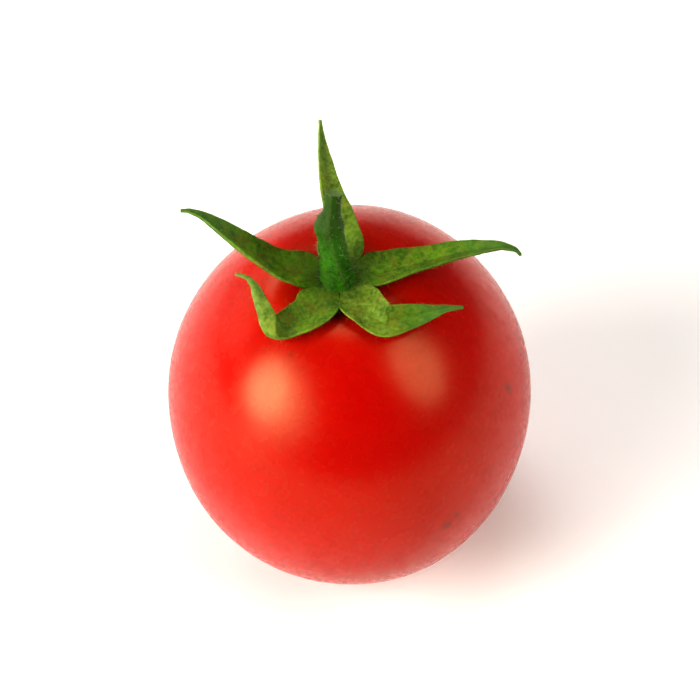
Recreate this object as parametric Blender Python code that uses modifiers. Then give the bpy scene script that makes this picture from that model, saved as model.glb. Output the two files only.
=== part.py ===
"""A ripe cherry tomato as picked: the fruit, its five sepals and the stub of its stalk.

Run it with blender --background --python part.py, or from Blender's text editor.
Metres, +Z up along the stalk, the front is -Y. The origin is the centre of the small flat spot
that the fruit rests on.
"""

import math

import bmesh
import bpy
from mathutils import Matrix, Vector

MM = 0.001

# Fruit: an egg-round body, flattened where it rests and dimpled where the stalk joins it.
FRUIT_WIDTH = 30.0 * MM
FRUIT_DEPTH = 31.2 * MM
FRUIT_LENGTH = 32.0 * MM
BASE_FLATTENING = 0.4 * MM
DIMPLE_DEPTH = 1.3 * MM
DIMPLE_RADIUS = 3.5 * MM
FULLER_BELOW = 0.018
# Each lobe term is (lobes round the fruit, share of the radius, azimuth of one lobe in degrees).
FRUIT_LOBES = ((2, 0.004, 30.0), (3, 0.005, -70.0), (5, 0.004, 10.0))
FRUIT_SEGMENTS = 56
FRUIT_RINGS = 36

# Calyx: the stalk joins the fruit a little off its axis, and the sepals spread from this point.
STALK_OFFSET = -1.0 * MM
HUB_HEIGHT = 30.8 * MM
HUB = Vector((STALK_OFFSET, 0.0, HUB_HEIGHT))

# Sepals: one tapered outline for all five, as (share of the length, half width).
SEPAL_OUTLINE = (
    (0.00, 0.72 * MM),
    (0.07, 1.12 * MM),
    (0.16, 1.56 * MM),
    (0.26, 1.60 * MM),
    (0.44, 1.32 * MM),
    (0.58, 1.06 * MM),
    (0.70, 0.80 * MM),
    (0.80, 0.52 * MM),
    (0.88, 0.30 * MM),
    (1.00, 0.12 * MM),
)
SEPAL_THICKNESS = 0.45 * MM
SEPAL_CHANNEL = 0.28
SEPAL_ROWS = 24
SEPAL_COLUMNS = 4

# Each sepal has its share of that width, and its midrib in millimetres from the hub, as
# (x, y, z, roll): the roll turns its upper face about the midrib, in degrees.
SEPALS = {
    "sepal_left": (
        1.08,
        (
            (-1.68, 0.50, 0.52, 0),
            (-2.90, 0.60, 0.68, 6),
            (-4.20, 0.66, 0.86, 10),
            (-5.48, 0.90, 1.36, 14),
            (-6.89, 1.38, 2.25, 14),
            (-9.09, 2.20, 3.80, 12),
            (-10.68, 2.72, 5.00, 8),
            (-12.40, 3.00, 5.60, 0),
        ),
    ),
    "sepal_back": (
        0.78,
        (
            (0.10, 1.76, 0.70, 0),
            (0.30, 3.00, 1.12, 10),
            (0.18, 4.60, 1.72, 20),
            (-0.12, 5.80, 2.02, 26),
            (-0.62, 7.60, 2.42, 32),
            (-1.03, 10.00, 2.90, 36),
            (-1.32, 13.80, 3.70, 30),
        ),
    ),
    "sepal_right": (
        0.95,
        (
            (1.62, 0.62, 0.60, 0),
            (2.80, 0.72, 0.72, -2),
            (4.20, 0.80, 0.80, -6),
            (5.62, 1.10, 0.82, -8),
            (7.64, 1.62, 0.94, -10),
            (10.00, 2.22, 1.12, -8),
            (12.73, 2.70, 1.18, -4),
            (13.90, 2.80, 0.92, 0),
            (14.90, 2.86, 0.15, 0),
        ),
    ),
    "sepal_front_right": (
        0.95,
        (
            (1.05, -1.42, 0.58, 0),
            (1.70, -2.50, 0.66, 0),
            (2.77, -3.80, 0.66, 6),
            (3.70, -4.45, 0.62, 15),
            (5.20, -4.30, 0.66, 24),
            (7.59, -3.68, 0.73, 26),
            (10.05, -3.15, 0.80, 14),
        ),
    ),
    "sepal_front_left": (
        0.90,
        (
            (-1.08, -1.42, 0.50, 0),
            (-1.70, -2.60, 0.46, 0),
            (-3.42, -4.30, 0.23, 0),
            (-4.94, -4.90, 0.12, 8),
            (-5.52, -4.86, 0.90, 34),
            (-5.78, -4.56, 1.90, 52),
            (-6.25, -4.20, 3.41, 60),
            (-6.60, -4.00, 4.70, 60),
            (-7.80, -3.78, 6.10, 60),
        ),
    ),
}

# Stalk: (x, y, z, radius) in millimetres from the hub. It swells at the knuckle, where it would
# drop from the plant, and a thinner cut end is left beyond it.
STALK_ROUTE = (
    (0.00, 0.00, 0.00, 1.38),
    (0.00, 0.05, 0.50, 1.36),
    (-0.10, 0.25, 1.60, 1.24),
    (-0.32, 0.70, 3.20, 1.12),
    (-0.55, 1.20, 4.80, 1.14),
    (-0.62, 1.42, 5.50, 1.16),
    (-0.56, 1.70, 6.20, 0.92),
    (-0.42, 2.10, 7.10, 0.76),
    (-0.25, 2.60, 8.10, 0.72),
)
STALK_POINTS = 28
STALK_BEVEL_RESOLUTION = 4

SKIN = ("tomato_skin", (0.70, 0.020, 0.008, 1.0), 0.28)
SEPAL_GREEN = ("sepal_green", (0.085, 0.190, 0.022, 1.0), 0.62)
STALK_GREEN = ("stalk_green", (0.090, 0.260, 0.020, 1.0), 0.55)


def clear_scene():
    for obj in list(bpy.data.objects):
        bpy.data.objects.remove(obj, do_unlink=True)


def make_material(name, colour, roughness):
    """A plain Principled material with no metal in it."""
    material = bpy.data.materials.new(name)
    material.use_nodes = True
    shader = material.node_tree.nodes["Principled BSDF"]
    shader.inputs["Base Color"].default_value = colour
    shader.inputs["Roughness"].default_value = roughness
    shader.inputs["Metallic"].default_value = 0.0
    material.diffuse_color = colour
    return material


def add_object(name, data, material, collection):
    data.materials.append(material)
    obj = bpy.data.objects.new(name, data)
    collection.objects.link(obj)
    return obj


def catmull_rom(a, b, c, d, t):
    """The value a share t of the way from b to c, on the smooth curve through a, b, c and d."""
    return 0.5 * (
        2 * b
        + (c - a) * t
        + (2 * a - 5 * b + 4 * c - d) * t * t
        + (3 * b - a - 3 * c + d) * t * t * t
    )


def smooth_stations(stations, steps_between=16):
    """Closely spaced stations on the smooth curve through the given ones."""
    rows = [Vector(station) for station in stations]
    rows = [2 * rows[0] - rows[1], *rows, 2 * rows[-1] - rows[-2]]
    fine = []
    for i in range(1, len(rows) - 2):
        for step in range(steps_between):
            t = step / steps_between
            fine.append(catmull_rom(rows[i - 1], rows[i], rows[i + 1], rows[i + 2], t))
    fine.append(rows[-2])
    return fine


def evenly_spaced(stations, count):
    """The given number of stations at equal distances along the smooth curve through these."""
    fine = smooth_stations(stations)
    travelled = [0.0]
    for before, after in zip(fine, fine[1:]):
        travelled.append(travelled[-1] + (after.xyz - before.xyz).length)
    found = []
    segment = 0
    for i in range(count):
        target = travelled[-1] * i / (count - 1)
        while segment < len(fine) - 2 and travelled[segment + 1] < target:
            segment += 1
        span = travelled[segment + 1] - travelled[segment]
        share = (target - travelled[segment]) / span
        found.append(fine[segment].lerp(fine[segment + 1], share))
    return found


def interpolate(table, at):
    """The value at one place in a table of (place, value) pairs, on straight lines between them."""
    for (low, before), (high, after) in zip(table, table[1:]):
        if at <= high:
            share = (at - low) / (high - low)
            return before + (after - before) * share
    return table[-1][1]


def fruit_point(direction):
    """Where the skin is, in this direction from the middle of the fruit."""
    azimuth = math.atan2(direction.y, direction.x)
    swell = 1.0 - FULLER_BELOW * direction.z
    for lobes, share, lobe_azimuth in FRUIT_LOBES:
        swell += share * math.cos(lobes * (azimuth - math.radians(lobe_azimuth)))
    x = direction.x * swell * FRUIT_WIDTH / 2
    y = direction.y * swell * FRUIT_DEPTH / 2
    z = (1 + direction.z) * FRUIT_LENGTH / 2 - BASE_FLATTENING
    if direction.z > 0:
        from_stalk = math.hypot(x - STALK_OFFSET, y) / DIMPLE_RADIUS
        z -= DIMPLE_DEPTH * math.exp(-from_stalk * from_stalk)
    return Vector((x, y, z))


def build_fruit(material, collection):
    """The whole fruit as one solid, with the flat spot cut where it settles on its base."""
    mesh = bpy.data.meshes.new("fruit")
    shape = bmesh.new()
    bmesh.ops.create_uvsphere(
        shape, u_segments=FRUIT_SEGMENTS, v_segments=FRUIT_RINGS, radius=1.0
    )
    for vertex in shape.verts:
        vertex.co = fruit_point(vertex.co.normalized())
    everything = list(shape.verts) + list(shape.edges) + list(shape.faces)
    cut = bmesh.ops.bisect_plane(
        shape, geom=everything, plane_co=(0, 0, 0), plane_no=(0, 0, 1), clear_inner=True
    )
    rim = [item for item in cut["geom_cut"] if isinstance(item, bmesh.types.BMEdge)]
    bmesh.ops.edgeloop_fill(shape, edges=rim)
    bmesh.ops.recalc_face_normals(shape, faces=shape.faces)
    for face in shape.faces:
        face.smooth = True
    for edge in rim:
        edge.smooth = False
    shape.to_mesh(mesh)
    shape.free()
    return add_object("fruit", mesh, material, collection)


def midrib_frames(stations):
    """(place, side, upper face's direction) at each row of a sepal, turned as little as it can be
    from row to row, and then by each row's roll."""
    rows = evenly_spaced(stations, SEPAL_ROWS + 1)
    places = [HUB + row.xyz * MM for row in rows]
    facing = Vector((0, 0, 1))
    frames = []
    for i, place in enumerate(places):
        ahead = places[min(i + 1, SEPAL_ROWS)]
        behind = places[max(i - 1, 0)]
        along = (ahead - behind).normalized()
        facing = (facing - facing.project(along)).normalized()
        upper = Matrix.Rotation(math.radians(rows[i].w), 3, along) @ facing
        frames.append((place, along.cross(upper), upper))
    return frames


def build_sepal(name, fullness, stations, material, collection):
    """A tapered, channelled blade: a grid laid along the midrib and given its thickness."""
    frames = midrib_frames(stations)
    mesh = bpy.data.meshes.new(name)
    shape = bmesh.new()
    bmesh.ops.create_grid(shape, x_segments=SEPAL_COLUMNS, y_segments=SEPAL_ROWS, size=1.0)
    for vertex in shape.verts:
        across = vertex.co.x
        share = (vertex.co.y + 1) / 2
        place, side, upper = frames[round(share * SEPAL_ROWS)]
        half_width = interpolate(SEPAL_OUTLINE, share) * fullness
        lift = SEPAL_CHANNEL * half_width * across * across
        vertex.co = place - side * across * half_width + upper * lift
    bmesh.ops.recalc_face_normals(shape, faces=shape.faces)
    shape.normal_update()
    middle = min(shape.faces, key=lambda face: (face.calc_center_median() - HUB).length)
    if middle.normal.z < 0:
        bmesh.ops.reverse_faces(shape, faces=shape.faces)
    shape.to_mesh(mesh)
    shape.free()
    mesh.shade_smooth()
    sepal = add_object(name, mesh, material, collection)
    blade = sepal.modifiers.new("thickness", "SOLIDIFY")
    blade.thickness = SEPAL_THICKNESS
    blade.offset = -1.0
    return sepal


def build_stalk(material, collection):
    """The round stub of the stalk, from its flared foot to the cut end."""
    curve = bpy.data.curves.new("stalk", "CURVE")
    curve.dimensions = "3D"
    curve.bevel_depth = MM
    curve.bevel_resolution = STALK_BEVEL_RESOLUTION
    curve.use_fill_caps = True
    spline = curve.splines.new("POLY")
    route = evenly_spaced(STALK_ROUTE, STALK_POINTS)
    spline.points.add(len(route) - 1)
    for point, row in zip(spline.points, route):
        point.co = (*(HUB + row.xyz * MM), 1.0)
        point.radius = row.w
    return add_object("stalk", curve, material, collection)


def main():
    clear_scene()
    collection = bpy.data.collections.new("cherry_tomato")
    bpy.context.scene.collection.children.link(collection)
    build_fruit(make_material(*SKIN), collection)
    build_stalk(make_material(*STALK_GREEN), collection)
    sepal_green = make_material(*SEPAL_GREEN)
    for name, (fullness, stations) in SEPALS.items():
        build_sepal(name, fullness, stations, sepal_green, collection)


main()
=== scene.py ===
"""A cherry tomato as picked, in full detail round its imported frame.

Lengths are in metres unless a name or a comment says millimetres. +Z is up along the stalk and
-Y is the front. Every piece is worked out from the calyx's hub and the fruit's driving sizes.
"""

import math
import random

import bmesh
import bpy
from mathutils import Matrix, Vector, noise


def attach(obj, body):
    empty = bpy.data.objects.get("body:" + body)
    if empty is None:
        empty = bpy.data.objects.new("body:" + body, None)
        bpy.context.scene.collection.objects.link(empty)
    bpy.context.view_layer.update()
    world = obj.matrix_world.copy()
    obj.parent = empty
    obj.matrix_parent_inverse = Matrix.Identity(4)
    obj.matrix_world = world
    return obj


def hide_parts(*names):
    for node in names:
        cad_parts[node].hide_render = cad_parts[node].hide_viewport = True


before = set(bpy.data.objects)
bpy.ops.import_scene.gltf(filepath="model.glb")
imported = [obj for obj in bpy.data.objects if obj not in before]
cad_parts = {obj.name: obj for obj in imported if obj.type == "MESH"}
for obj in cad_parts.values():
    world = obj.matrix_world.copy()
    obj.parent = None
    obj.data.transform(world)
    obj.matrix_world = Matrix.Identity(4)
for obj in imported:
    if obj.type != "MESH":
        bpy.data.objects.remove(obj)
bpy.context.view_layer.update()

MM = 0.001

# Fruit, as in the CAD, with the soft wave of its skin and the softened rim of its flat spot.
FRUIT_WIDTH = 30.0 * MM
FRUIT_DEPTH = 31.2 * MM
FRUIT_LENGTH = 32.0 * MM
BASE_FLATTENING = 0.4 * MM
BASE_SOFTNESS = 0.3 * MM
DIMPLE_DEPTH = 1.3 * MM
DIMPLE_RADIUS = 3.5 * MM
FULLER_BELOW = 0.018
FRUIT_LOBES = ((2, 0.004, 30.0), (3, 0.005, -70.0), (5, 0.004, 10.0))
SKIN_WAVE = 0.05 * MM
SKIN_WAVE_SIZE = 7.0 * MM
FRUIT_SEGMENTS = 256
FRUIT_RINGS = 160

# The corky scar on the blossom end, and the shoulder round the stalk, where the red is yellower.
SCAR_RADIUS = 0.9 * MM
SCAR_DEPTH = 0.25 * MM
SCAR_RAGGEDNESS = 0.25
SCAR_RAGGEDNESS_SIZE = 0.5 * MM
SCAR_GRAIN = 0.5
SCAR_GRAIN_SIZE = 0.25 * MM
SCAR_ONLY_BELOW = 2.0 * MM
SHOULDER_FULL_WITHIN = 2.5 * MM
SHOULDER_ENDS_AT = 9.0 * MM

# Small brown marks on the skin, as (direction from the middle of the fruit, radius).
BLEMISHES = (
    (Vector((0.870, -0.276, 0.410)), 0.75 * MM),
    (Vector((0.525, -0.851, 0.003)), 0.65 * MM),
    (Vector((0.570, -0.815, 0.035)), 0.45 * MM),
)
BLEMISH_RAGGEDNESS = 0.5
BLEMISH_RAGGEDNESS_SIZE = 0.5 * MM

# Calyx: the stalk joins the fruit a little off its axis, and the sepals spread from this point.
STALK_OFFSET = -1.0 * MM
HUB = Vector((STALK_OFFSET, 0.0, 30.8 * MM))

# Round the stalk the sepals are one disc. Each owns a sector of it, and becomes a free blade
# between these distances from the hub.
DISC_INNER = 0.70 * MM
DISC_HEIGHT = 0.42 * MM
DISC_SLOPE = 0.05
FREE_FROM = 1.9 * MM
FREE_BY = 3.7 * MM

# Sepals: one tapered outline for all five, as (share of the length, half width).
SEPAL_OUTLINE = (
    (0.00, 1.90 * MM),
    (0.16, 1.86 * MM),
    (0.30, 1.60 * MM),
    (0.44, 1.34 * MM),
    (0.58, 1.08 * MM),
    (0.70, 0.82 * MM),
    (0.79, 0.54 * MM),
    (0.87, 0.30 * MM),
    (0.94, 0.15 * MM),
    (1.00, 0.06 * MM),
)
SEPAL_ROWS = 110
SEPAL_COLUMNS = 18

# A blade is thickest along its midrib. Its margins and its tip have these shares of that.
SEPAL_THICKNESS = 0.62 * MM
SEPAL_EDGE_SHARE = 0.32
SEPAL_TIP_SHARE = 0.40
SEPAL_THINS_ALONG = (0.45, 0.95)

# The blade's relief: it is channelled, with a groove along the midrib, slanting veins, wavy
# margins and a fine uneven surface.
SEPAL_CHANNEL = 0.34
MIDRIB_GROOVE = 0.16 * MM
MIDRIB_GROOVE_WIDTH = 0.22 * MM
VEIN_SPACING = 1.5 * MM
VEIN_SLANT = 0.9
VEIN_RELIEF = 0.035 * MM
MARGIN_WAVE = 0.10 * MM
MARGIN_WAVE_SIZE = 1.9 * MM
WIDTH_WAVE = 0.05
WIDTH_WAVE_SIZE = 1.1 * MM
SURFACE_RELIEF = 0.03 * MM
SURFACE_RELIEF_SIZE = 0.45 * MM

# A bend is measured over this many rows each way. The centre of the bend is always at least this
# many times further from the midrib than the inner margin is, so that a sharp bend doesn't fold
# through itself.
BEND_ROWS = 5
BEND_FILL = 1.15

# Between these shares of its length a sepal comes to its own fullness, and its paler green, partly
# its own tone and partly painted light, changes from that of its base to that of its outer half.
FULLNESS_SETS_IN = (0.10, 0.35)
PALE_AND_LIT_CHANGES = (0.25, 0.70)

# Each sepal has its share of that width, how pale it is at its base and in its outer half (partly
# its own tone, partly painted light where it faces the lamps), the azimuths where its sector of
# the disc begins and ends, and its midrib in millimetres from the hub, as (x, y, z, roll): the
# roll turns its upper face about the midrib, in degrees.
SEPALS = {
    "sepal_left": (
        1.08,
        (0.0, 0.0),
        (127.0, 207.0),
        (
            (-0.95, 0.12, 0.45, 0),
            (-2.20, 0.28, 0.58, 4),
            (-4.20, 0.55, 0.80, 10),
            (-5.48, 0.88, 1.36, 14),
            (-6.89, 1.38, 2.25, 14),
            (-9.09, 2.20, 3.80, 12),
            (-10.68, 2.72, 5.00, 8),
            (-11.75, 2.95, 5.50, 4),
            (-12.56, 3.00, 5.60, 0),
        ),
    ),
    "sepal_back": (
        0.82,
        (0.20, 0.38),
        (46.0, 127.0),
        (
            (0.05, 0.95, 0.45, 0),
            (0.18, 2.10, 0.80, 4),
            (0.25, 3.30, 1.25, 12),
            (0.15, 4.60, 1.72, 20),
            (-0.12, 5.80, 2.02, 26),
            (-0.62, 7.60, 2.42, 32),
            (-1.03, 10.00, 2.90, 36),
            (-1.22, 11.80, 3.35, 34),
            (-1.32, 13.90, 3.72, 30),
        ),
    ),
    "sepal_right": (
        0.95,
        (0.0, 0.0),
        (-18.0, 46.0),
        (
            (0.92, 0.26, 0.45, 0),
            (2.10, 0.40, 0.56, 0),
            (3.59, 0.52, 0.64, -4),
            (5.62, 1.08, 0.82, -8),
            (7.64, 1.62, 0.94, -10),
            (10.00, 2.22, 1.12, -8),
            (12.73, 2.70, 1.18, -4),
            (13.76, 2.80, 0.98, 0),
            (14.56, 2.85, 0.60, 0),
            (15.03, 2.87, -0.07, 0),
        ),
    ),
    "sepal_front_right": (
        1.0,
        (0.34, 0.0),
        (-84.0, -18.0),
        (
            (0.60, -0.78, 0.45, 0),
            (1.10, -1.70, 0.58, 0),
            (1.70, -2.70, 0.66, 0),
            (2.77, -3.86, 0.66, 6),
            (3.57, -4.58, 0.60, 14),
            (4.25, -4.58, 0.62, 20),
            (5.58, -4.20, 0.67, 26),
            (7.59, -3.68, 0.73, 26),
            (8.61, -3.38, 0.78, 22),
            (10.12, -3.15, 0.82, 14),
        ),
    ),
    "sepal_front_left": (
        0.92,
        (0.08, 0.38),
        (207.0, 276.0),
        (
            (-0.55, -0.80, 0.45, 0),
            (-1.05, -1.95, 0.50, 0),
            (-2.12, -3.50, 0.38, 0),
            (-3.42, -4.38, 0.23, 0),
            (-4.94, -5.05, 0.12, 8),
            (-5.52, -4.90, 0.90, 34),
            (-5.78, -4.56, 1.90, 52),
            (-6.25, -4.20, 3.41, 60),
            (-6.52, -4.00, 4.63, 60),
            (-7.07, -3.85, 5.72, 60),
            (-8.00, -3.78, 6.21, 60),
        ),
    ),
}

# Stalk: (x, y, z, radius) in millimetres from the hub. It flares into the calyx at its foot,
# swells at the knuckle, where it would drop from the plant, and is cut beyond it.
STALK_ROUTE = (
    (0.00, 0.00, 0.10, 1.75),
    (0.00, 0.02, 0.40, 1.55),
    (0.00, 0.08, 0.90, 1.38),
    (-0.10, 0.25, 1.60, 1.26),
    (-0.32, 0.70, 3.20, 1.12),
    (-0.52, 1.12, 4.50, 1.10),
    (-0.62, 1.36, 5.20, 1.22),
    (-0.62, 1.52, 5.70, 1.16),
    (-0.56, 1.70, 6.15, 0.88),
    (-0.46, 1.92, 6.65, 0.70),
    (-0.36, 2.28, 7.45, 0.64),
    (-0.25, 2.60, 8.10, 0.66),
)
STALK_ROWS = 130
STALK_SIDES = 48
STALK_RIDGES = 6
STALK_RIDGE_TWIST = 6.0
STALK_RIDGE_HEIGHT = 0.035
CUT_ROWS = 8
CUT_HOLLOW = 0.16 * MM

# The stalk's unevenness, as (share of the radius, size of the bumps, seed).
STALK_BUMPS = ((0.07, 1.0 * MM, 21.0), (0.03, 0.3 * MM, 4.0))

# Hairs: short, straight and tapered, as (piece, how many, shortest, longest).
HAIR_RADIUS = 0.013 * MM
HAIR_SPREAD = 0.35
HAIR_LEAN = 0.35
HAIRS = (
    ("stalk", 420, 0.20 * MM, 0.65 * MM),
    ("sepal_left", 260, 0.12 * MM, 0.42 * MM),
    ("sepal_back", 220, 0.12 * MM, 0.42 * MM),
    ("sepal_right", 260, 0.12 * MM, 0.42 * MM),
    ("sepal_front_right", 240, 0.12 * MM, 0.42 * MM),
    ("sepal_front_left", 240, 0.12 * MM, 0.42 * MM),
)


# ---------------------------------------------------------------- curves and tables


def catmull_rom(a, b, c, d, t):
    """The value a share t of the way from b to c, on the smooth curve through a, b, c and d."""
    return 0.5 * (
        2 * b
        + (c - a) * t
        + (2 * a - 5 * b + 4 * c - d) * t * t
        + (3 * b - a - 3 * c + d) * t * t * t
    )


def smooth_stations(stations, steps_between=24):
    """Closely spaced stations on the smooth curve through the given ones."""
    rows = [Vector(station) for station in stations]
    rows = [2 * rows[0] - rows[1], *rows, 2 * rows[-1] - rows[-2]]
    fine = []
    for i in range(1, len(rows) - 2):
        for step in range(steps_between):
            t = step / steps_between
            fine.append(catmull_rom(rows[i - 1], rows[i], rows[i + 1], rows[i + 2], t))
    fine.append(rows[-2])
    return fine


def evenly_spaced(stations, count):
    """The given number of stations at equal distances along the smooth curve through these."""
    fine = smooth_stations(stations)
    travelled = [0.0]
    for before, after in zip(fine, fine[1:]):
        travelled.append(travelled[-1] + (after.xyz - before.xyz).length)
    found = []
    segment = 0
    for i in range(count):
        target = travelled[-1] * i / (count - 1)
        while segment < len(fine) - 2 and travelled[segment + 1] < target:
            segment += 1
        span = travelled[segment + 1] - travelled[segment]
        share = (target - travelled[segment]) / span
        found.append(fine[segment].lerp(fine[segment + 1], share))
    return found


def smoothstep(low, high, value):
    share = min(max((value - low) / (high - low), 0.0), 1.0)
    return share * share * (3 - 2 * share)


def interpolate(table, at):
    """The value at one place in a table of (place, value) pairs, on a smooth curve."""
    places = [place for place, _ in table]
    values = [value for _, value in table]
    for i in range(len(table) - 1):
        if at <= places[i + 1]:
            share = (at - places[i]) / (places[i + 1] - places[i])
            before = values[max(i - 1, 0)]
            after = values[min(i + 2, len(table) - 1)]
            return catmull_rom(before, values[i], values[i + 1], after, share)
    return values[-1]


def ripple(place, size, seed):
    """Smooth noise from -1 to 1, whose bumps are about this size."""
    return noise.noise(place / size + Vector((seed, 2.3 * seed, -1.7 * seed)))


# ---------------------------------------------------------------- meshes


def finish_mesh(name, shape, material, attributes):
    """The object made from a bmesh, with a named value at each vertex for the material to read."""
    shape.verts.index_update()
    mesh = bpy.data.meshes.new(name)
    shape.to_mesh(mesh)
    shape.free()
    for attribute, values in attributes.items():
        layer = mesh.attributes.new(attribute, "FLOAT", "POINT")
        layer.data.foreach_set("value", values)
    mesh.shade_smooth()
    mesh.materials.append(material)
    obj = bpy.data.objects.new(name, mesh)
    bpy.context.scene.collection.objects.link(obj)
    return obj


def soften_above_floor(height):
    """The height, eased so that the skin flattens where it rests instead of passing below."""
    return 0.5 * (height + math.sqrt(height * height + BASE_SOFTNESS * BASE_SOFTNESS))


def fruit_point(direction):
    """Where the skin is, in this direction from the middle of the fruit."""
    azimuth = math.atan2(direction.y, direction.x)
    swell = 1.0 - FULLER_BELOW * direction.z
    for lobes, share, lobe_azimuth in FRUIT_LOBES:
        swell += share * math.cos(lobes * (azimuth - math.radians(lobe_azimuth)))
    x = direction.x * swell * FRUIT_WIDTH / 2
    y = direction.y * swell * FRUIT_DEPTH / 2
    z = (1 + direction.z) * FRUIT_LENGTH / 2 - BASE_FLATTENING
    if direction.z > 0:
        from_stalk = math.hypot(x - STALK_OFFSET, y) / DIMPLE_RADIUS
        z -= DIMPLE_DEPTH * math.exp(-from_stalk * from_stalk)
    place = Vector((x, y, z))
    place += direction * SKIN_WAVE * ripple(place, SKIN_WAVE_SIZE, 1.0)
    place.z = soften_above_floor(place.z)
    return place


def scar_hollow(place):
    """How far the small corky scar on the blossom end is sunk at this place, from 0 to 1."""
    if place.z > SCAR_ONLY_BELOW:
        return 0.0
    ragged = 1 + SCAR_RAGGEDNESS * ripple(place, SCAR_RAGGEDNESS_SIZE, 5.0)
    return 1 - smoothstep(0.5, 1.0, math.hypot(place.x, place.y) / (SCAR_RADIUS * ragged))


def blemish_at(place):
    """How brown the skin is here, from 0 to 1."""
    strongest = 0.0
    for direction, radius in BLEMISHES:
        distance = (place - fruit_point(direction)).length
        ragged = 1 + BLEMISH_RAGGEDNESS * ripple(place, BLEMISH_RAGGEDNESS_SIZE, 13.0)
        strongest = max(strongest, 1 - smoothstep(0.3, 1.0, distance / (radius * ragged)))
    return strongest


def build_fruit(material):
    shape = bmesh.new()
    bmesh.ops.create_uvsphere(
        shape, u_segments=FRUIT_SEGMENTS, v_segments=FRUIT_RINGS, radius=1.0
    )
    values = {"scar": [], "shoulder": [], "blemish": []}
    for vertex in shape.verts:
        place = fruit_point(vertex.co.normalized())
        depth = scar_hollow(place)
        grain = 1 + SCAR_GRAIN * ripple(place, SCAR_GRAIN_SIZE, 9.0)
        place.z += depth * SCAR_DEPTH * grain
        from_stalk = (place - HUB).length
        values["scar"].append(depth)
        shoulder = 1 - smoothstep(SHOULDER_FULL_WITHIN, SHOULDER_ENDS_AT, from_stalk)
        values["shoulder"].append(shoulder)
        values["blemish"].append(blemish_at(place))
        vertex.co = place
    return finish_mesh("tomato_fruit", shape, material, values)


def midrib_frames(stations):
    """(place, side, upper face's direction, bend) at each row of a sepal, turned as little as it
    can be from row to row, and then by each row's roll. The bend is how sharply the midrib turns
    towards its side, in turns of one radian a metre."""
    rows = evenly_spaced(stations, SEPAL_ROWS + 1)
    places = [HUB + row.xyz * MM for row in rows]
    facing = Vector((0, 0, 1))
    frames = []
    for i, place in enumerate(places):
        ahead = places[min(i + 1, SEPAL_ROWS)]
        behind = places[max(i - 1, 0)]
        along = (ahead - behind).normalized()
        facing = (facing - facing.project(along)).normalized()
        upper = Matrix.Rotation(math.radians(rows[i].w), 3, along) @ facing
        side = along.cross(upper)
        onward = places[min(i + BEND_ROWS, SEPAL_ROWS)] - place
        back = place - places[max(i - BEND_ROWS, 0)]
        bend = 0.0
        if onward.length > 0 and back.length > 0:
            turned = (onward.normalized() - back.normalized()).dot(side)
            bend = 2 * turned / (onward.length + back.length)
        frames.append((place, side, upper, bend))
    return frames


def vein_strength(across, distance, half_width):
    """How much of a side vein there is here, from 0 to 1: they leave the midrib slanting
    forward, and fade towards the margin."""
    slanted = distance - VEIN_SLANT * abs(across) * half_width
    phase = slanted / VEIN_SPACING
    crest = 0.5 + 0.5 * math.cos(2 * math.pi * phase)
    return crest**3 * (1 - abs(across)) * smoothstep(0.0, 0.2, abs(across))


def blade_point(frame_row, across, distance, half_width, seed):
    """A point on the free blade's upper face."""
    place, side, upper, bend = frame_row
    edge = abs(across)
    travelled = Vector((distance, 0, 0))
    wave = ripple(travelled, MARGIN_WAVE_SIZE, seed + math.copysign(3, across))
    width = half_width * (1 + WIDTH_WAVE * ripple(travelled, WIDTH_WAVE_SIZE, seed + 7))
    if across * bend < 0:
        width /= (1 + (BEND_FILL * width * abs(bend)) ** 3) ** (1 / 3)
    lift = SEPAL_CHANNEL * width * edge**1.6
    lift += MARGIN_WAVE * wave * edge**3 * smoothstep(0.0, 0.6 * MM, half_width)
    lift -= MIDRIB_GROOVE * math.exp(-((across * half_width / MIDRIB_GROOVE_WIDTH) ** 2))
    lift -= VEIN_RELIEF * vein_strength(across, distance, half_width)
    return place - side * across * width + upper * lift


def disc_point(radius, azimuth):
    """A point on the disc that the sepals share round the stalk."""
    outward = Vector((math.cos(azimuth), math.sin(azimuth), 0))
    height = DISC_HEIGHT + DISC_SLOPE * radius
    return HUB + outward * radius + Vector((0, 0, height))


def thickness_share(across, share):
    """The blade's thickness here, as a share of the thickest: least at its margins and tip."""
    across_share = 1 - (1 - SEPAL_EDGE_SHARE) * abs(across) ** 1.5
    along_share = 1 - (1 - SEPAL_TIP_SHARE) * smoothstep(*SEPAL_THINS_ALONG, share)
    return across_share * along_share


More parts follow.
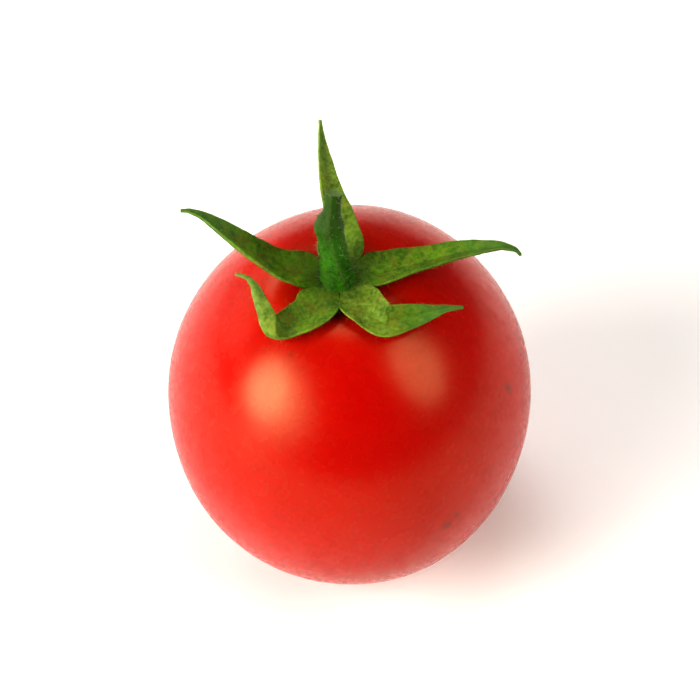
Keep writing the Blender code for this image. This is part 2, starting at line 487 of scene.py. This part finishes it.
def build_sepal(name, fullness, pale_and_lit, sector, stations, seed, material):
    """One sepal: its sector of the shared disc, drawn out into a tapered, channelled blade."""
    frames = midrib_frames(stations)
    starts, ends = (math.radians(azimuth) for azimuth in sector)
    at_base, at_tip = pale_and_lit
    length = sum((b[0] - a[0]).length for a, b in zip(frames, frames[1:]))
    shape = bmesh.new()
    bmesh.ops.create_grid(shape, x_segments=SEPAL_COLUMNS, y_segments=SEPAL_ROWS, size=1.0)
    values = {"across": [], "along": [], "vein": [], "thickness": [], "pale_and_lit": []}
    for vertex in shape.verts:
        across = vertex.co.x
        share = (vertex.co.y + 1) / 2
        row = frames[round(share * SEPAL_ROWS)]
        half_width = interpolate(SEPAL_OUTLINE, share)
        reach = (row[0].xy - HUB.xy).length
        free = smoothstep(FREE_FROM, FREE_BY, reach) if share < 0.5 else 1.0
        half_width *= 1 + (fullness - 1) * smoothstep(*FULLNESS_SETS_IN, share)
        blade = blade_point(row, across, share * length, half_width, seed)
        azimuth = starts + (ends - starts) * (1 + across) / 2
        place = disc_point(max(reach, DISC_INNER), azimuth).lerp(blade, free)
        place += row[2] * SURFACE_RELIEF * ripple(place, SURFACE_RELIEF_SIZE, seed + 11)
        vertex.co = place
        values["across"].append(abs(across) * free)
        values["along"].append(share)
        values["vein"].append(vein_strength(across, share * length, half_width) * free)
        values["thickness"].append(thickness_share(across, share))
        # How far this row has turned to the outer half's paler green, part own tone and part
        # painted light.
        outer = smoothstep(*PALE_AND_LIT_CHANGES, share)
        values["pale_and_lit"].append(at_base + (at_tip - at_base) * outer)
    bmesh.ops.recalc_face_normals(shape, faces=shape.faces)
    shape.normal_update()
    root = min(shape.faces, key=lambda face: (face.calc_center_median() - HUB).length)
    if root.normal.z < 0:
        bmesh.ops.reverse_faces(shape, faces=shape.faces)
    sepal = finish_mesh(name, shape, material, values)
    thicken(sepal, values["thickness"])
    return sepal


def thicken(sepal, shares):
    """The blade's thickness, greatest along its midrib and least at its margins."""
    group = sepal.vertex_groups.new(name="thickness")
    for index, share in enumerate(shares):
        group.add([index], share, "REPLACE")
    blade = sepal.modifiers.new("thickness", "SOLIDIFY")
    blade.thickness = SEPAL_THICKNESS
    blade.offset = -1.0
    blade.vertex_group = "thickness"
    rounded = sepal.modifiers.new("rounded", "SUBSURF")
    rounded.levels = 1
    rounded.render_levels = 1


def stalk_row(share):
    """(how far along the route, share of the radius, how far it is sunk) for one row of the
    stalk. The last rows cross the cut end, which dries a little hollow."""
    cut = smoothstep(1 - CUT_ROWS / STALK_ROWS, 1.0, share)
    if cut <= 0:
        return share * STALK_ROWS / (STALK_ROWS - CUT_ROWS), 1.0, 0.0
    return 1.0, math.sqrt(max(1 - cut * cut, 0.0)), CUT_HOLLOW * cut * (2 - cut)


def build_stalk(material):
    """The stalk's stub: a ridged tube that flares at its foot and ends in a cut face."""
    route = evenly_spaced(STALK_ROUTE, STALK_ROWS + 1)
    shape = bmesh.new()
    bmesh.ops.create_grid(shape, x_segments=STALK_SIDES, y_segments=STALK_ROWS, size=1.0)
    values = {"cut": [], "along": [], "ridge": []}
    for vertex in shape.verts:
        turn = (vertex.co.x + 1) * math.pi
        share = (vertex.co.y + 1) / 2
        travelled, closing, sunk = stalk_row(share)
        at = min(round(travelled * STALK_ROWS), STALK_ROWS)
        ahead = route[min(at + 2, STALK_ROWS)].xyz
        behind = route[max(at - 2, 0)].xyz
        along = (ahead - behind).normalized()
        side = Vector((0, 1, 0)).cross(along).normalized()
        front = along.cross(side)
        outward = side * math.cos(turn) + front * math.sin(turn)
        centre = HUB + route[at].xyz * MM
        ridge = math.cos(STALK_RIDGES * turn + STALK_RIDGE_TWIST * travelled)
        radius = route[at].w * MM * (1 + STALK_RIDGE_HEIGHT * ridge)
        place = centre + outward * radius
        radius *= 1 + sum(share * ripple(place, size, seed) for share, size, seed in STALK_BUMPS)
        vertex.co = centre + outward * radius * closing - along * sunk
        values["cut"].append(1.0 if travelled >= 1.0 else 0.0)
        values["along"].append(travelled)
        values["ridge"].append(ridge)
    bmesh.ops.recalc_face_normals(shape, faces=shape.faces)
    return finish_mesh("tomato_stalk", shape, material, values)


# ---------------------------------------------------------------- materials


class Nodes:
    """A small helper that adds shader nodes and joins them up."""

    def __init__(self, name):
        self.material = bpy.data.materials.new(name)
        self.material.use_nodes = True
        self.tree = self.material.node_tree
        self.shader = self.tree.nodes["Principled BSDF"]
        self.coordinates = self.add("ShaderNodeTexCoord").outputs["Object"]

    def add(self, kind, **settings):
        node = self.tree.nodes.new(kind)
        for setting, value in settings.items():
            setattr(node, setting, value)
        return node

    def join(self, source, target):
        self.tree.links.new(source, target)

    def value(self, attribute):
        return self.add("ShaderNodeAttribute", attribute_name=attribute).outputs["Fac"]

    def noise(self, size, detail=3.0, roughness=0.5):
        """Smooth noise whose bumps are about this size in metres."""
        node = self.add("ShaderNodeTexNoise")
        node.inputs["Scale"].default_value = 1 / size
        node.inputs["Detail"].default_value = detail
        node.inputs["Roughness"].default_value = roughness
        self.join(self.coordinates, node.inputs["Vector"])
        return node.outputs["Fac"]

    def ranged(self, source, low, high, to_low=0.0, to_high=1.0):
        """The source, spread from one range of values to another and held there."""
        node = self.add("ShaderNodeMapRange", interpolation_type="SMOOTHSTEP")
        self.join(source, node.inputs["Value"])
        node.inputs["From Min"].default_value = low
        node.inputs["From Max"].default_value = high
        node.inputs["To Min"].default_value = to_low
        node.inputs["To Max"].default_value = to_high
        return node.outputs["Result"]

    def math(self, operation, first, second):
        node = self.add("ShaderNodeMath", operation=operation)
        for socket, source in zip(node.inputs, (first, second)):
            if isinstance(source, (int, float)):
                socket.default_value = source
            else:
                self.join(source, socket)
        return node.outputs["Value"]

    def blend(self, amount, first, second):
        """The first colour, with this much of the second over it. A Mix node has a set of
        sockets for each type of value, and these are the ones for colours."""
        node = self.add("ShaderNodeMix", data_type="RGBA")
        factor, a, b = (node.inputs[i] for i in (0, 6, 7))
        for socket, source in ((factor, amount), (a, first), (b, second)):
            if isinstance(source, (int, float, tuple)):
                socket.default_value = source
            else:
                self.join(source, socket)
        return node.outputs[2]

    def spots(self, spacing, radius, share):
        """Small round spots: 1 inside them. Only this share of the cells has one."""
        node = self.add("ShaderNodeTexVoronoi")
        node.inputs["Scale"].default_value = 1 / spacing
        self.join(self.coordinates, node.inputs["Vector"])
        inside = self.ranged(node.outputs["Distance"], radius / spacing, 0.3 * radius / spacing)
        chosen = self.add("ShaderNodeSeparateColor")
        self.join(node.outputs["Color"], chosen.inputs["Color"])
        kept = self.math("LESS_THAN", chosen.outputs["Red"], share)
        return self.math("MULTIPLY", inside, kept)

    def bump(self, height, distance, strength=1.0, over=None):
        node = self.add("ShaderNodeBump")
        node.inputs["Strength"].default_value = strength
        node.inputs["Distance"].default_value = distance
        self.join(height, node.inputs["Height"])
        if over:
            self.join(over, node.inputs["Normal"])
        return node.outputs["Normal"]

    def set(self, socket, value):
        if isinstance(value, bpy.types.NodeSocket):
            self.join(value, self.shader.inputs[socket])
        else:
            self.shader.inputs[socket].default_value = value


def skin_material():
    """Ripe tomato skin: deep red, waxy and a little soft to the light."""
    nodes = Nodes("tomato_skin")
    deep = (0.400, 0.0016, 0.0003, 1.0)
    bright = (0.430, 0.0030, 0.0004, 1.0)
    orange = (0.430, 0.0250, 0.0012, 1.0)
    gold = (0.560, 0.1800, 0.0400, 1.0)
    freckle = (0.200, 0.0080, 0.0040, 1.0)
    brown = (0.090, 0.0120, 0.0080, 1.0)
    cork = (0.140, 0.0700, 0.0300, 1.0)
    clouds = nodes.ranged(nodes.noise(9 * MM, 1.0), 0.3, 0.7)
    colour = nodes.blend(clouds, deep, bright)
    tinge = nodes.math("MULTIPLY", nodes.value("shoulder"), 0.45)
    colour = nodes.blend(tinge, colour, orange)
    flecks = nodes.math("MULTIPLY", nodes.spots(1.1 * MM, 0.10 * MM, 0.5), 0.35)
    colour = nodes.blend(flecks, colour, gold)
    freckles = nodes.math("MULTIPLY", nodes.spots(6.0 * MM, 0.30 * MM, 0.22), 0.6)
    colour = nodes.blend(freckles, colour, freckle)
    marks = nodes.math("MULTIPLY", nodes.value("blemish"), 0.55)
    colour = nodes.blend(marks, colour, brown)
    colour = nodes.blend(nodes.value("scar"), colour, cork)
    nodes.set("Base Color", colour)
    nodes.set("Roughness", nodes.ranged(nodes.noise(1.2 * MM, 3.0), 0.3, 0.7, 0.25, 0.29))
    nodes.set("Specular IOR Level", 0.35)
    nodes.set("Specular Tint", (1.0, 0.98, 0.52, 1.0))
    nodes.set("Subsurface Weight", 0.80)
    nodes.set("Subsurface Radius", (1.0, 0.15, 0.06))
    nodes.set("Subsurface Scale", 2.5 * MM)
    nodes.set("Normal", nodes.bump(nodes.noise(1.1 * MM, 1.0), 0.002 * MM, 0.15))
    return nodes.material


def leaf_colour(nodes, dark, light):
    """Green that is mottled at two sizes, as seen through a finely bumpy skin."""
    broad = nodes.ranged(nodes.noise(1.6 * MM, 3.0), 0.3, 0.7)
    fine = nodes.ranged(nodes.noise(0.30 * MM, 2.0), 0.38, 0.62)
    broad_share = nodes.math("MULTIPLY", broad, 0.55)
    fine_share = nodes.math("MULTIPLY", fine, 0.45)
    return nodes.blend(nodes.math("ADD", broad_share, fine_share), dark, light)


def leaf_finish(nodes):
    """Matt, with a faint bloom from the finest hairs."""
    nodes.set("Roughness", 0.60)
    nodes.set("Specular IOR Level", 0.22)
    nodes.set("Sheen Weight", 0.03)
    nodes.set("Sheen Roughness", 0.5)
    nodes.set("Sheen Tint", (0.75, 0.85, 0.55, 1.0))
    cells = nodes.bump(nodes.noise(0.12 * MM, 2.0), 0.02 * MM, 0.7)
    nodes.set("Normal", nodes.bump(nodes.noise(0.45 * MM, 3.0), 0.05 * MM, 0.7, cells))


def sepal_material():
    """Mottled green, cooler towards the tip, paler on some sepals partly through painted light,
    and with painted shade in the hollow round the stalk.
    """
    nodes = Nodes("sepal_green")
    dark = (0.030, 0.078, 0.0010, 1.0)
    light = (0.125, 0.235, 0.0060, 1.0)
    olive = (0.140, 0.130, 0.0030, 1.0)
    pale = (0.270, 0.330, 0.055, 1.0)
    tip = (0.070, 0.175, 0.040, 1.0)
    pale_lit_dark = (0.130, 0.200, 0.020, 1.0)
    pale_lit_light = (0.400, 0.480, 0.110, 1.0)
    hollow = (0.018, 0.050, 0.001, 1.0)
    colour = leaf_colour(nodes, dark, light)
    tinge = nodes.ranged(nodes.noise(1.1 * MM, 2.0), 0.50, 0.68, 0.0, 0.55)
    colour = nodes.blend(tinge, colour, olive)
    near_tip = nodes.ranged(nodes.value("along"), 0.45, 0.90, 0.0, 0.7)
    colour = nodes.blend(near_tip, colour, tip)
    soft = leaf_colour(nodes, pale_lit_dark, pale_lit_light)
    # Paler green on some sepals: partly their own tone, partly painted light on the faces the
    # lamps catch.
    colour = nodes.blend(nodes.value("pale_and_lit"), colour, soft)
    # Painted shade: the sepals darken towards the hub, in the hollow round the stalk where shade
    # falls.
    painted_shade_near_stalk = nodes.ranged(nodes.value("along"), 0.02, 0.20, 0.6, 0.0)
    colour = nodes.blend(painted_shade_near_stalk, colour, hollow)
    colour = nodes.blend(nodes.math("MULTIPLY", nodes.value("vein"), 0.25), colour, pale)
    margin = nodes.ranged(nodes.value("across"), 0.90, 1.0, 0.0, 0.15)
    colour = nodes.blend(margin, colour, pale)
    dots = nodes.math("MULTIPLY", nodes.spots(0.55 * MM, 0.07 * MM, 0.6), 0.5)
    colour = nodes.blend(dots, colour, pale)
    nodes.set("Base Color", colour)
    leaf_finish(nodes)
    return nodes.material


def stalk_material():
    """A deeper green, with painted shade above the knuckle, paler ridges and a pale cut face."""
    nodes = Nodes("stalk_green")
    dark = (0.018, 0.075, 0.0010, 1.0)
    light = (0.045, 0.180, 0.003, 1.0)
    dried = (0.085, 0.115, 0.030, 1.0)
    pith = (0.165, 0.240, 0.080, 1.0)
    shaded = (0.022, 0.055, 0.002, 1.0)
    colour = leaf_colour(nodes, dark, light)
    # Painted shade: the stalk darkens above the knuckle.
    upper = nodes.ranged(nodes.value("along"), 0.40, 0.75, 0.0, 0.75)
    colour = nodes.blend(upper, colour, shaded)
    ridge = nodes.ranged(nodes.value("ridge"), 0.2, 1.0, 0.0, 0.3)
    colour = nodes.blend(ridge, colour, dried)
    colour = nodes.blend(nodes.math("MULTIPLY", nodes.value("cut"), 0.85), colour, pith)
    nodes.set("Base Color", colour)
    leaf_finish(nodes)
    return nodes.material


def hair_material():
    """Pale and slightly glossy."""
    nodes = Nodes("plant_hair")
    nodes.set("Base Color", (0.24, 0.28, 0.16, 1.0))
    nodes.set("Roughness", 0.45)
    return nodes.material


# ---------------------------------------------------------------- hairs


def add_hair(shape, root, direction, length, lean):
    """One hair: a three-sided spike that leans a little towards its tip."""
    side = direction.orthogonal().normalized()
    other = direction.cross(side)
    rings = []
    for share, width in ((-0.1, 1.0), (0.55, 0.62)):
        centre = root + direction * length * share + lean * max(share, 0) ** 2
        ring = []
        for corner in range(3):
            turn = corner * math.tau / 3
            around = side * math.cos(turn) + other * math.sin(turn)
            ring.append(shape.verts.new(centre + around * HAIR_RADIUS * width))
        rings.append(ring)
    tip = shape.verts.new(root + direction * length + lean)
    foot, middle = rings
    shape.faces.new(foot[::-1])
    for corner in range(3):
        following = (corner + 1) % 3
        shape.faces.new((foot[corner], foot[following], middle[following], middle[corner]))
        shape.faces.new((middle[corner], middle[following], tip))


def scatter_hairs(shape, piece, count, shortest, longest, random_source):
    """Hairs spread evenly over a piece's faces, standing out from it."""
    graph = bpy.context.evaluated_depsgraph_get()
    mesh = piece.evaluated_get(graph).to_mesh()
    faces = [polygon for polygon in mesh.polygons if polygon.area > 0]
    areas = [polygon.area for polygon in faces]
    for polygon in random_source.choices(faces, weights=areas, k=count):
        corners = [mesh.vertices[index].co for index in polygon.vertices]
        root = corners[0].lerp(corners[1], random_source.random())
        root = root.lerp(corners[2], random_source.random())
        tilt = Vector([random_source.gauss(0, HAIR_SPREAD) for _ in range(3)])
        direction = (polygon.normal + tilt).normalized()
        length = random_source.uniform(shortest, longest)
        lean = tilt * HAIR_LEAN * length
        add_hair(shape, root, direction, length, lean)
    piece.evaluated_get(graph).to_mesh_clear()


def build_hairs(pieces, material):
    random_source = random.Random(7)
    shape = bmesh.new()
    for name, count, shortest, longest in HAIRS:
        scatter_hairs(shape, pieces[name], count, shortest, longest, random_source)
    return finish_mesh("calyx_hairs", shape, material, {})


# ---------------------------------------------------------------- studio

CAMERA_ELEVATION = 53.0
CAMERA_DISTANCE = 0.43
FRAME_WIDTH = 0.058
SENSOR_WIDTH = 36.0
FRUIT_MIDDLE = Vector((0, 0, FRUIT_LENGTH / 2 - BASE_FLATTENING))
LOOK_ABOVE = 3.6 * MM

# Soft lights, as (name, direction from the fruit, distance, width, height, radiance, colour).
# The key fades towards its edges, as a softbox does, so it is a stack of discs.
KEY_DIRECTION = (-0.812, -0.352, 0.466)
FILL_DIRECTION = (-0.761, -0.470, 0.449)
WARM = (1.0, 0.96, 0.88)
WARMER = (1.0, 0.93, 0.84)
WHITE = (1.0, 1.0, 1.0)
LIGHTS = (
    ("key", KEY_DIRECTION, 0.50, 0.30, 0.30, 5.9, WARM),
    ("fill_core", FILL_DIRECTION, 0.51, 0.20, 0.20, 1.7, WARM),
    ("fill_middle", FILL_DIRECTION, 0.52, 0.34, 0.34, 2.2, WARM),
    ("fill_edge", FILL_DIRECTION, 0.53, 0.52, 0.52, 2.4, WARM),
    ("window", (0.712, -0.226, 0.665), 0.60, 0.36, 0.52, 4.3, WARMER),
    ("top", (0.00, 0.30, 0.95), 0.60, 0.30, 0.30, 2.7, WHITE),
    ("back", (-0.45, 0.60, 0.66), 0.60, 0.30, 0.30, 3.1, WHITE),
    ("back_low", (-0.81, 0.52, 0.27), 0.60, 0.50, 0.30, 1.1, WHITE),
)


FLOOR_RADIUS = 4.0
FLOOR_GRAIN_SIZE = 0.02
DARK = (0.02, 0.02, 0.02, 1.0)
DIM = (0.20, 0.20, 0.20, 1.0)


def add_camera():
    """A long lens that looks down on the front, centred on the fruit and its calyx."""
    elevation = math.radians(CAMERA_ELEVATION)
    towards_camera = Vector((0, -math.cos(elevation), math.sin(elevation)))
    up_the_frame = Vector((0, math.sin(elevation), math.cos(elevation)))
    target = FRUIT_MIDDLE + up_the_frame * LOOK_ABOVE
    data = bpy.data.cameras.new("camera")
    data.sensor_width = SENSOR_WIDTH
    data.lens = SENSOR_WIDTH * CAMERA_DISTANCE / FRAME_WIDTH
    data.clip_start = 0.01
    camera = bpy.data.objects.new("camera", data)
    camera.location = target + towards_camera * CAMERA_DISTANCE
    camera.rotation_euler = (math.pi / 2 - elevation, 0, 0)
    bpy.context.scene.collection.objects.link(camera)
    bpy.context.scene.camera = camera


def add_soft_light(name, direction, distance, width, height, radiance, colour):
    """An oval soft light that faces the fruit from this direction."""
    data = bpy.data.lights.new(name, "AREA")
    data.shape = "ELLIPSE"
    data.size = width
    data.size_y = height
    data.energy = radiance * math.pi * width * height * math.pi / 4
    data.color = colour
    light = bpy.data.objects.new(name, data)
    away = Vector(direction).normalized()
    light.location = FRUIT_MIDDLE + away * distance
    light.rotation_euler = away.to_track_quat("Z", "Y").to_euler()
    bpy.context.scene.collection.objects.link(light)


def add_floor():
    """A pale floor, wide enough to reach the horizon."""
    shape = bmesh.new()
    bmesh.ops.create_circle(shape, cap_ends=True, segments=64, radius=FLOOR_RADIUS)
    nodes = Nodes("floor")
    grain = nodes.ranged(nodes.noise(FLOOR_GRAIN_SIZE, 3.0), 0.3, 0.7)
    nodes.set("Base Color", nodes.blend(grain, (0.90, 0.90, 0.90, 1.0), (0.92, 0.92, 0.92, 1.0)))
    nodes.set("Roughness", 0.8)
    floor = finish_mesh("floor", shape, nodes.material, {})


def add_world():
    """A dark studio with a dim band of light a little above the horizon."""
    world = bpy.data.worlds.new("studio")
    bpy.context.scene.world = world
    world.use_nodes = True
    tree = world.node_tree
    place = tree.nodes.new("ShaderNodeTexCoord")
    split = tree.nodes.new("ShaderNodeSeparateXYZ")
    ramp = tree.nodes.new("ShaderNodeValToRGB")
    tree.links.new(place.outputs["Generated"], split.inputs["Vector"])
    tree.links.new(split.outputs["Z"], ramp.inputs["Fac"])
    stops = ramp.color_ramp.elements
    stops[0].position = 0.0
    stops[0].color = DARK
    stops[1].position = 0.55
    stops[1].color = DARK
    band = stops.new(0.25)
    band.color = DIM
    background = tree.nodes["Background"]
    tree.links.new(ramp.outputs["Color"], background.inputs["Color"])
    background.inputs["Strength"].default_value = 1.0


def build_studio():
    add_camera()
    add_floor()
    add_world()
    for light in LIGHTS:
        add_soft_light(*light)
    bpy.context.scene.view_settings.view_transform = "Standard"
    bpy.context.scene.view_settings.look = "High Contrast"


# ---------------------------------------------------------------- the whole object


def build_tomato():
    green = sepal_material()
    pieces = {"fruit": build_fruit(skin_material()), "stalk": build_stalk(stalk_material())}
    for seed, (name, described) in enumerate(SEPALS.items()):
        pieces[name] = build_sepal("tomato_" + name, *described, 10.0 * seed, green)
    hairs = build_hairs(pieces, hair_material())
    for name, piece in pieces.items():
        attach(piece, "root")
        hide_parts(name)
    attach(hairs, "root")


build_tomato()
build_studio()
